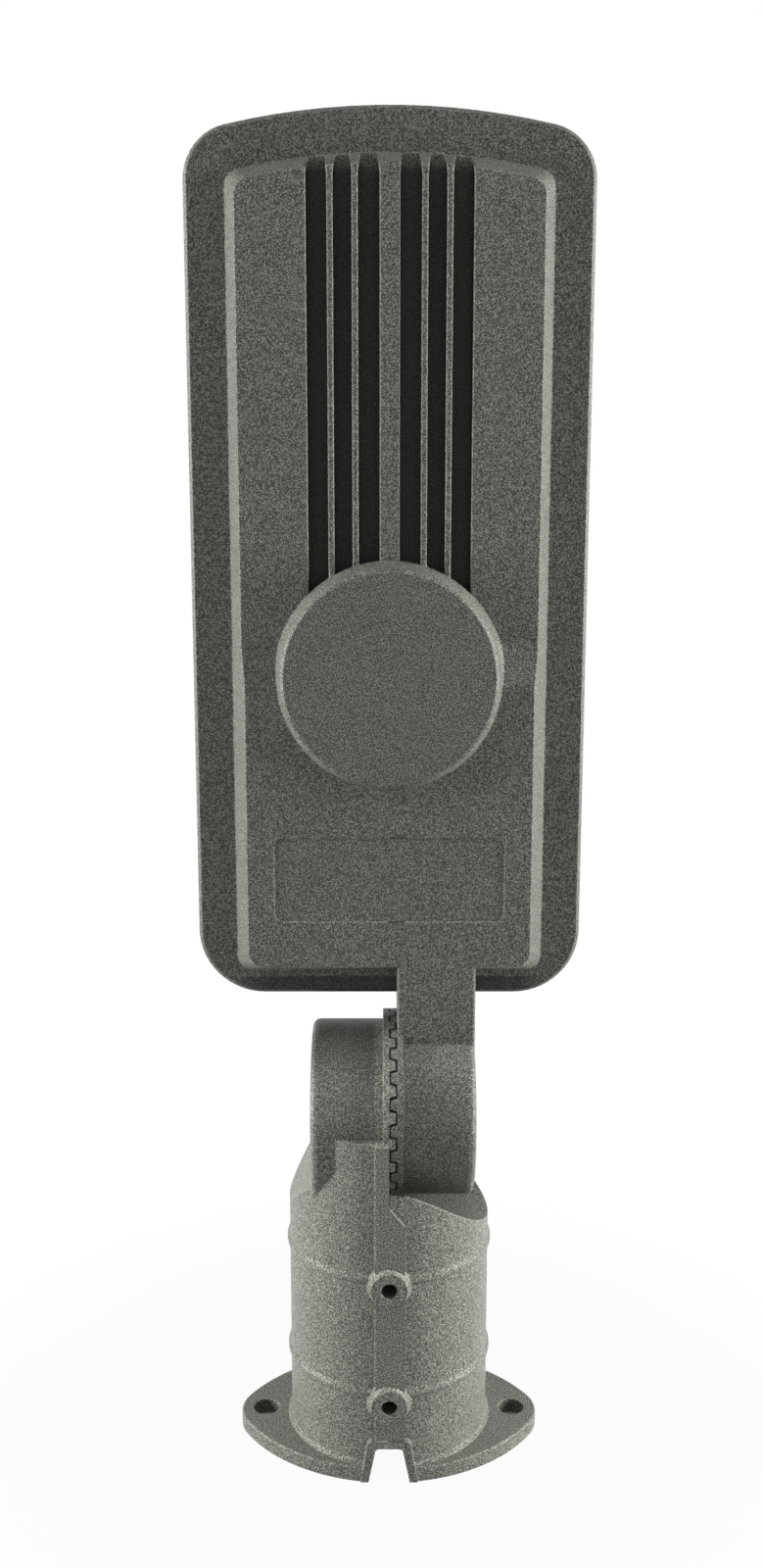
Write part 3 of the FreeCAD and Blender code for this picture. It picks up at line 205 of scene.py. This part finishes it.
PAN_FACE = -1.0
HOUSING_FOOT = 164.3
FOOT_HALF = 50.6
behind_housing = ("y", PAN_FACE - 0.6, PAN_FACE - 0.4)
# Painted shade on the pan's front face.
painted_pan_shade = (0.8, [behind_housing, ("y", PAN_FACE + 1.4, PAN_FACE + 0.2)])
# Painted shadow on the strip of the pan below the housing's foot.
painted_shadow_under_foot = (
    0.33,
    [
        ("z", HOUSING_FOOT + 0.3, HOUSING_FOOT - 0.3),
        ("aside", FOOT_HALF + 8, FOOT_HALF - 14),
        ("y", PAN_FACE + 4, PAN_FACE + 2),
        behind_housing,
    ],
)

BAND_LOW = 263.0
BAND_HIGH = 275.1
BAND_HALF = 46
BAND_FRONT = -13.2
BAND_TURN = 20
band = [
    ("z", BAND_LOW - 1.5, BAND_LOW + 0.5),
    ("z", BAND_HIGH + 3, BAND_HIGH - 0.5),
    ("aside", BAND_HALF, BAND_HALF - 1),
    ("y", BAND_FRONT - 0.3, BAND_FRONT),
]
# Painted shade on the band's left side and a painted highlight on its right.
painted_band_shade = (0.84, band + [("x", BAND_TURN, -BAND_TURN)])
painted_band_highlight = (1.3, band + [("x", -BAND_TURN, BAND_TURN)])
head_shades = [painted_groove_shade, painted_tooth_gap_shade, painted_shadow_under_foot, painted_band_shade, painted_band_highlight, painted_pan_shade]
print("stretches of the head:", len(head_shades))

# %% [markdown]
# ## The sleeve's painted shade and light
# The top of the sleeve's drum turns away from the lamps at both sides and gets painted shade,
# its toothed disc a little less. The flat rib down the front faces the camera and gets little
# of the side light, yet it has the tone of the round wall beside it, so its colour is painted
# a little lighter.

# %% Stretches of the sleeve
DISC_START = -6
DISC_END = -3
RIB_HALF = 4.8
RIB_DEPTH = -24
high_up = ("z", HINGE + 12, HINGE + 27)
# Painted shade on the drum's top, and less of it on the toothed disc.
painted_drum_top_shade = (0.45, [high_up, ("x", DISC_END, DISC_START)])
painted_disc_top_shade = (0.88, [high_up, ("x", DISC_START, DISC_END)])
# Painted light on the rib down the front.
painted_rib_light = (1.28, [("aside", RIB_HALF + 0.4, RIB_HALF - 0.2), ("y", RIB_DEPTH + 4, RIB_DEPTH)])
sleeve_shades = [painted_tooth_gap_shade, painted_drum_top_shade, painted_disc_top_shade, painted_rib_light]
print("stretches of the sleeve:", len(sleeve_shades))

# %% [markdown]
# ## Textured powder coat
# The castings are die-cast aluminium under a textured polyester powder coat. The powder is
# sprayed dry and melts into tiny hills, dark in the valleys and lighter on the tops, which
# gives a speckled satin grey. Noise of that size drives both the colour and a fine bump, and
# a second, larger noise keeps wide faces from looking flat. The real hills are about a
# quarter of a millimetre apart, too fine for the picture, so they are drawn a little coarser.
#
# Cast edges are never sharp. A real radius on each of them would cost thousands of faces,
# so the Bevel node rounds only the way the light falls there. Where its normal differs
# from the true one there is an edge, and there the coat is lightened, partly as wear and
# partly as a painted highlight, apart from the teeth's edges, which get painted shade in
# their gap. A rough coat mirrors little at a slant, so its specular level is below the usual half.

# %% Grain
GRAIN_MM = 0.42
CLOUD_MM = 28


def grain(tree, size_mm, detail=2.0, seed=0.0):
    """Noise whose blotches are about size_mm across; returns its value output."""
    place = add(tree, "ShaderNodeTexCoord").outputs["Object"]
    shifted = add(tree, "ShaderNodeVectorMath", {0: place, 1: (seed, seed, seed)}, operation="ADD")
    sockets = {"Vector": shifted.outputs[0], "Scale": 1 / (size_mm * MM), "Detail": detail}
    return add(tree, "ShaderNodeTexNoise", sockets).outputs["Fac"]


print("blotches per metre:", round(1 / (GRAIN_MM * MM)))

# %% Edges
EDGE_MM = 0.6
# The teeth's edges get painted shade; other edges are lightened as wear and painted highlight.
TOOTH_EDGE_SHADE = -0.8


def edge_mask(tree, rounded):
    """1 along edges and 0 on open faces, from how far the rounded normal leans away."""
    true_normal = add(tree, "ShaderNodeNewGeometry").outputs["Normal"]
    lean = add(tree, "ShaderNodeVectorMath", {0: rounded, 1: true_normal}, operation="DOT_PRODUCT")
    sockets = {"Value": lean.outputs["Value"], "From Min": 0.995, "From Max": 0.9}
    return add(tree, "ShaderNodeMapRange", sockets).outputs["Result"]


def edge_wear_and_highlight(tree, where, rounded, rub_and_highlight):
    """A factor lightening the edges by the given share, as wear and painted highlight, and painting shade
    on the teeth's edges.
    """
    gain = blend(tree, where, tooth_zone, rub_and_highlight, TOOTH_EDGE_SHADE)
    sockets = {0: edge_mask(tree, rounded), 1: gain, 2: 1.0}
    return add(tree, "ShaderNodeMath", sockets, operation="MULTIPLY_ADD").outputs[0]


print("edge radius in mm:", EDGE_MM)

# %% Powder coat
SPECKLE_STOPS = (0.4, 0.5, 0.62)
HILL_MM = 0.06
COAT_ROUGHNESS = 0.45
COAT_SPECULAR = 0.2


def speckle(tree, fine, colours):
    """The grain's colour, from the dark valleys to the light tops."""
    colour = add(tree, "ShaderNodeValToRGB", {"Fac": fine})
    ramp = colour.color_ramp
    ramp.elements.new(SPECKLE_STOPS[1])
    for element, stop, tone in zip(ramp.elements, SPECKLE_STOPS, colours):
        element.position = stop
        element.color = linear(tone)
    return colour.outputs["Color"]


def powder_coat(name, colours, rub_and_highlight, shades=()):
    """A speckled coat in three colours; each painted shade or light is a factor and its stretch's limits.
    """
    material, tree, output = new_material(name)
    where = coordinates(tree)
    where["hinge"] = distance(tree, where["y"], where["z"], (0, HINGE))
    fine = grain(tree, GRAIN_MM)
    clouds = grain(tree, CLOUD_MM, 3.0, seed=0.4)
    rounded = add(tree, "ShaderNodeBevel", {"Radius": EDGE_MM * MM}, samples=6).outputs["Normal"]
    drift = add(tree, "ShaderNodeMapRange", {"Value": clouds, "To Min": 0.94, "To Max": 1.06})
    factors = [drift.outputs["Result"], edge_wear_and_highlight(tree, where, rounded, rub_and_highlight)]
    factors += [blend(tree, where, limits, 1.0, share) for share, limits in shades]
    sockets = {0: speckle(tree, fine, colours), "Scale": product(tree, factors)}
    colour = add(tree, "ShaderNodeVectorMath", sockets, operation="SCALE")
    sockets = {"Value": fine, "To Min": COAT_ROUGHNESS + 0.08, "To Max": COAT_ROUGHNESS - 0.08}
    rough = add(tree, "ShaderNodeMapRange", sockets)
    sockets = {"Height": fine, "Distance": HILL_MM * MM, "Strength": 1.0, "Normal": rounded}
    bump = add(tree, "ShaderNodeBump", sockets)
    sockets = {
        "Base Color": colour.outputs[0],
        "Roughness": rough.outputs["Result"],
        "Normal": bump.outputs["Normal"],
        "Specular IOR Level": COAT_SPECULAR,
    }
    shader = add(tree, "ShaderNodeBsdfPrincipled", sockets)
    tree.links.new(shader.outputs["BSDF"], output.inputs["Surface"])
    print(name, len(tree.nodes), "nodes")
    return material


# %% [markdown]
# In the photograph the sleeve is a shade lighter than the head, and its edges stand out
# less. The cover on the back isn't shown there and gets the head's powder.

# %% The three coats
HEAD_COLOURS = ("#393936", "#595954", "#8f8f87")
SLEEVE_COLOURS = ("#3f3f3c", "#61615b", "#98988f")
finishes = {
    "head_casting": powder_coat("textured_powder_coat_head", HEAD_COLOURS, 0.9, head_shades),
    "cover_sheet": powder_coat("textured_powder_coat_cover", HEAD_COLOURS, 0.6),
    "sleeve_casting": powder_coat("textured_powder_coat_sleeve", SLEEVE_COLOURS, 0.4, sleeve_shades),
}

# %% [markdown]
# ## Small materials
# The smaller pieces have finer surfaces, and at their size one recipe is enough: a base
# colour and a roughness that both drift a little with a noise of half a millimetre, as
# handling marks do, and a very low bump. What tells them apart is the colour, the roughness
# and whether they are metal.


# %% A small material
MARK_MM = 0.6


def small_finish(name, colour, roughness, metallic=0.0, spread=0.12, bump_mm=0.01, more=None):
    """A finish with faint marks; spread is how far they change the colour, more adds sockets."""
    material, tree, output = new_material(name)
    fine = grain(tree, MARK_MM, 3.0, seed=0.1)
    tint = add(tree, "ShaderNodeMapRange", {"Value": fine, "To Min": 1 - spread, "To Max": 1 + spread})
    sockets = {0: linear(colour)[:3], "Scale": tint.outputs["Result"]}
    shade = add(tree, "ShaderNodeVectorMath", sockets, operation="SCALE")
    sockets = {"Value": fine, "To Min": roughness - 0.05, "To Max": roughness + 0.05}
    rough = add(tree, "ShaderNodeMapRange", sockets)
    bump = add(tree, "ShaderNodeBump", {"Height": fine, "Distance": bump_mm * MM, "Strength": 1.0})
    sockets = {
        "Base Color": shade.outputs[0],
        "Roughness": rough.outputs["Result"],
        "Metallic": metallic,
        "Normal": bump.outputs["Normal"],
    }
    sockets.update(more or {})
    shader = add(tree, "ShaderNodeBsdfPrincipled", sockets)
    tree.links.new(shader.outputs["BSDF"], output.inputs["Surface"])
    return material


# %% [markdown]
# ## Metals
# The clamp bolt, its nut and washers are steel under electroplated zinc, a pale grey with
# soft reflections. The small screws are stainless steel, cold formed and a touch brighter.
# The earth screw is turned brass, yellow and smooth. The driver's case is pressed aluminium
# with a satin skin.

# %% Metals
stainless = small_finish("stainless_steel", "#c4c4c2", 0.3, 1.0)
metals = {
    "zinc_steel": small_finish("zinc_plated_steel", "#b9bab6", 0.34, 1.0),
    "stainless_steel": stainless,
    "brass": small_finish("turned_brass", "#c9a45a", 0.3, 1.0),
    "driver_case": small_finish("satin_aluminium", "#c2c3c4", 0.38, 1.0),
}
finishes.update(metals)
print("metals:", len(metals))

# %% [markdown]
# ## Plastics and rubber
# The gaskets, the seal and the bush are moulded rubber, dark and matt. The gland is moulded
# nylon, black with a low sheen, and the terminal block is moulded polyamide, off-white. The
# board carries a white solder mask, and each chip a drop of yellow phosphor under silicone.
# The lens plate is clear injection-moulded polycarbonate, smooth, with an IOR of 1.585 and
# most of the light passing through.

# %% Plastics and rubber
clear = {"Transmission Weight": 0.9, "IOR": 1.585}
plastics = {
    "seal_rubber": small_finish("moulded_rubber", "#1b1b1c", 0.7),
    "gland_plastic": small_finish("moulded_nylon_black", "#1d1d1f", 0.42),
    "terminal_plastic": small_finish("moulded_polyamide", "#d8d8d0", 0.45),
    "board_white": small_finish("white_solder_mask", "#e6e6e0", 0.35),
    "led_phosphor": small_finish("yellow_phosphor", "#e8c34a", 0.4),
    "clear_lens": small_finish("clear_polycarbonate", "#f4f7f8", 0.08, 0.0, 0.02, 0.002, clear),
}
finishes.update(plastics)
print("plastics and rubber:", len(plastics))

# %% [markdown]
# Every piece already names the finish that it needs, so one loop dresses them all.

# %% Dressing the pieces
for row in frame["record"]["subparts"]:
    for slot in nodes[row["node"]].material_slots:
        slot.material = finishes[row["material_slot"]]
print("finishes:", len(finishes))

# %% [markdown]
# ## Cover screws
# The lens and the cover are held by M4 pan head screws of stainless steel. The solids show
# them as plain stepped pins. What the eye knows a screw by is the domed head and the cross in
# it, so one screw is turned from its profile, a tapered cross is cut out of its head, and the
# result is copied to every place. The cross stands at another angle in each, as left by a hand.

# %% Turning
TURNS = 48
SMOOTH_ANGLE = 35


def turned(bm, profile):
    """A closed skin round the Y axis from (radius, y) points in millimetres."""
    rings = []
    for radius, along in profile:
        if radius == 0:
            rings.append([bm.verts.new((0, along * MM, 0))])
            continue
        ring = []
        for step in range(TURNS):
            angle = 2 * math.pi * step / TURNS
            spot = (radius * math.cos(angle) * MM, along * MM, radius * math.sin(angle) * MM)
            ring.append(bm.verts.new(spot))
        rings.append(ring)
    for first, second in zip(rings, rings[1:]):
        for step in range(TURNS):
            after = (step + 1) % TURNS
            corners = [first[step % len(first)], second[step % len(second)]]
            if len(second) > 1:
                corners.append(second[after])
            if len(first) > 1:
                corners.append(first[after])
            bm.faces.new(corners)
    bmesh.ops.recalc_face_normals(bm, faces=bm.faces)


def finished(name, bm):
    """An object made from a bmesh, smooth where its faces meet at a small angle."""
    mesh = bpy.data.meshes.new(name)
    bm.to_mesh(mesh)
    bm.free()
    mesh.shade_smooth()
    mesh.set_sharp_from_angle(angle=math.radians(SMOOTH_ANGLE))
    made = bpy.data.objects.new(name, mesh)
    scene.collection.objects.link(made)
    return made


# %% The screw's blank
HEAD_BASE = 13.0
HEAD_TOP = 15.0
DOME = [(3.6, 13.0), (3.6, 13.55), (3.45, 14.0), (3.0, 14.45), (2.2, 14.8), (1.2, 14.96), (0, HEAD_TOP)]
SHANK_END = 2.8
PITCH = 0.7
SHANK_RADIUS = 2.0
ROOT_RADIUS = 1.65

profile = [(0, SHANK_END), (ROOT_RADIUS, SHANK_END)]
along = SHANK_END + PITCH / 2
while along < HEAD_BASE - PITCH:
    profile += [(SHANK_RADIUS, along), (ROOT_RADIUS, along + PITCH / 2)]
    along += PITCH
profile += [(SHANK_RADIUS, HEAD_BASE - 0.1), (SHANK_RADIUS, HEAD_BASE)] + DOME
screw_mesh = bmesh.new()
turned(screw_mesh, profile)
blank = finished("screw_blank", screw_mesh)
print("blank:", len(profile), "points in the profile")

# %% The cross
CROSS_HALF = 0.42
CROSS_REACH = 1.9
CROSS_DEPTH = 1.15
CROSS_TAPER = 0.55
ABOVE_HEAD = 0.6

cross_mesh = bmesh.new()
outline = []
for turn in range(4):
    angle = turn * math.pi / 2
    ax, az = math.cos(angle), math.sin(angle)
    for reach, side in ((CROSS_REACH, -CROSS_HALF), (CROSS_REACH, CROSS_HALF), (CROSS_HALF, CROSS_HALF)):
        outline.append((reach * ax - side * az, reach * az + side * ax))
rings = []
for height, share in ((HEAD_TOP + ABOVE_HEAD, 1.0), (HEAD_TOP - CROSS_DEPTH, CROSS_TAPER)):
    rings.append([cross_mesh.verts.new((share * x * MM, height * MM, share * z * MM)) for x, z in outline])
    cross_mesh.faces.new(rings[-1])
top, low = rings
for number in range(len(top)):
    after = (number + 1) % len(top)
    cross_mesh.faces.new((top[number], top[after], low[after], low[number]))
bmesh.ops.recalc_face_normals(cross_mesh, faces=cross_mesh.faces)
cross = finished("screw_cross", cross_mesh)
print("cross:", len(outline), "corners")

# %% The cross cut out of the head
cut = blank.modifiers.new("cross", "BOOLEAN")
cut.object = cross
cut.operation = "DIFFERENCE"
cut.solver = "EXACT"
cut_blank = blank.evaluated_get(bpy.context.evaluated_depsgraph_get())
one_screw = bpy.data.meshes.new_from_object(cut_blank)
bpy.data.objects.remove(blank)
bpy.data.objects.remove(cross)
print("one screw:", len(one_screw.vertices), "points")

# %% Screws in their places
LENS_COLUMN = 54.5
LENS_ROWS = (284.2, 326.2, 368.2, 410.2)
COVER_COLUMN = 51.5
COVER_ROWS = (184.2, 222.2, 260.2)
TURN_STEP = 1.1


def screw_group(name, node, column, rows):
    """Copies of the screw in two columns, shown in place of the node's plain pins."""
    group = bmesh.new()
    for number, (side, row) in enumerate((side, row) for side in (-1, 1) for row in rows):
        turn = Matrix.Rotation(TURN_STEP * number, 4, "Y")
        place = Matrix.Translation((side * column * MM, 0, row * MM))
        before = len(group.verts)
        group.from_mesh(one_screw)
        group.verts.ensure_lookup_table()
        bmesh.ops.transform(group, matrix=place @ turn, verts=group.verts[before:])
    made = finished(name, group)
    made.data.materials.append(stainless)
    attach(made, "head")
    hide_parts(node)
    print(name, len(made.data.polygons), "faces")


screw_group("lens_screw_heads", "lens_screws", LENS_COLUMN, LENS_ROWS)
screw_group("cover_screw_heads", "cover_screws", COVER_COLUMN, COVER_ROWS)

# %% [markdown]
# ## Floor and world
# The floor and the world are white only where the camera, a reflection or clear plastic
# sees them. Under the lamp the floor keeps a little of its true shade, so that it can hold
# a faint shadow, and farther out it turns fully white and leaves no horizon. What shows of
# it through the flange's holes and inside the sleeve keeps its true shade in full, so the
# holes look as dark as they are.


# %% What sees the white
def seen_directly(tree):
    """A number that is 1 for rays from the camera, from glossy surfaces and through clear ones."""
    path = add(tree, "ShaderNodeLightPath").outputs
    sockets = {0: path["Is Camera Ray"], 1: path["Is Glossy Ray"]}
    either = add(tree, "ShaderNodeMath", sockets, operation="MAXIMUM")
    sockets = {0: either.outputs[0], 1: path["Is Transmission Ray"]}
    return add(tree, "ShaderNodeMath", sockets, operation="MAXIMUM").outputs[0]


# %% Floor
FLOOR_HALF = 3.0
FLOOR_GREY = "#a0a0a0"
SHADOW_START = 88
SHADOW_END = 220
SHADOW_WHITE = 0.95
EAR_HOLE_X = 43
EAR_HOLE_RADIUS = 5.5
BORE_RADIUS = 31
NOTCH_BACK = -12

floor_mesh = bpy.data.meshes.new("floor")
corners = [(x * FLOOR_HALF, y * FLOOR_HALF, 0) for x, y in ((-1, -1), (1, -1), (1, 1), (-1, 1))]
floor_mesh.from_pydata(corners, [], [(0, 1, 2, 3)])
floor = bpy.data.objects.new("floor", floor_mesh)
scene.collection.objects.link(floor)
print("floor in metres:", 2 * FLOOR_HALF)

# %% The floor's white
floor_material, tree, output = new_material("white_floor")
where = coordinates(tree)
where["axis"] = distance(tree, where["x"], where["y"], (0, 0))
where["ear"] = distance(tree, where["aside"], where["y"], (EAR_HOLE_X, 0))
in_bore = [("axis", BORE_RADIUS + 1, BORE_RADIUS), ("y", NOTCH_BACK - 2, NOTCH_BACK)]
factors = [
    seen_directly(tree),
    blend(tree, where, [("axis", SHADOW_START, SHADOW_END)], SHADOW_WHITE, 1.0),
    blend(tree, where, [("ear", EAR_HOLE_RADIUS + 0.5, EAR_HOLE_RADIUS)], 1.0, 0.0),
    blend(tree, where, in_bore, 1.0, 0.0),
]
matt = add(tree, "ShaderNodeBsdfDiffuse", {"Color": linear(FLOOR_GREY)})
glow = add(tree, "ShaderNodeEmission", {"Color": (1, 1, 1, 1), "Strength": 1.0})
sockets = {0: product(tree, factors), 1: matt.outputs[0], 2: glow.outputs[0]}
mixed = add(tree, "ShaderNodeMixShader", sockets)
tree.links.new(mixed.outputs[0], output.inputs["Surface"])
floor_mesh.materials.append(floor_material)
print("white of the floor under the lamp:", SHADOW_WHITE)

# %% World
WORLD_GREY = "#c8cacc"
WORLD_STRENGTH = 0.12

world = bpy.data.worlds.new("studio")
scene.world = world
world.use_nodes = True
tree = world.node_tree
tree.nodes.clear()
dim = add(tree, "ShaderNodeBackground", {"Color": linear(WORLD_GREY), "Strength": WORLD_STRENGTH})
white = add(tree, "ShaderNodeBackground", {"Color": (1, 1, 1, 1), "Strength": 1.0})
sockets = {0: seen_directly(tree), 1: dim.outputs[0], 2: white.outputs[0]}
mixed = add(tree, "ShaderNodeMixShader", sockets)
output = add(tree, "ShaderNodeOutputWorld")
tree.links.new(mixed.outputs[0], output.inputs["Surface"])
print("world strength:", WORLD_STRENGTH)

# %% [markdown]
# ## Lamps
# In the photograph the flat faces are mid grey and the slanted edges at both sides are
# bright, so the light comes from the sides. Two tall soft boxes stand almost level with the
# lamp's front: they skim over the flat faces and fill the slanted edges. A weak lamp far in
# front and one above keep the rest from going black. They are only as strong as it takes for
# a colour to show about as it was written.


# %% Lamps
def soft_box(name, place, width, height, watts):
    """A rectangular lamp at a place, turned to the middle of the head."""
    data = bpy.data.lights.new(name, "AREA")
    data.shape = "RECTANGLE"
    data.size = width
    data.size_y = height
    data.energy = watts
    lamp = bpy.data.objects.new(name, data)
    lamp.location = place
    direction = [b - a for a, b in zip(place, MIDDLE)]
    lamp.rotation_euler = Vector(direction).to_track_quat("-Z", "Y").to_euler()
    scene.collection.objects.link(lamp)
    print(name, watts, "W")


MIDDLE = (0, 0, 0.22)
soft_box("left_strip", (-1.0, -0.09, 0.3), 0.4, 1.0, 27)
soft_box("right_strip", (1.0, -0.09, 0.3), 0.4, 1.0, 31)
soft_box("front_fill", (0, -1.8, 0.15), 1.0, 1.0, 1.8)
soft_box("top_light", (0, -0.35, 1.5), 0.9, 0.5, 4.5)
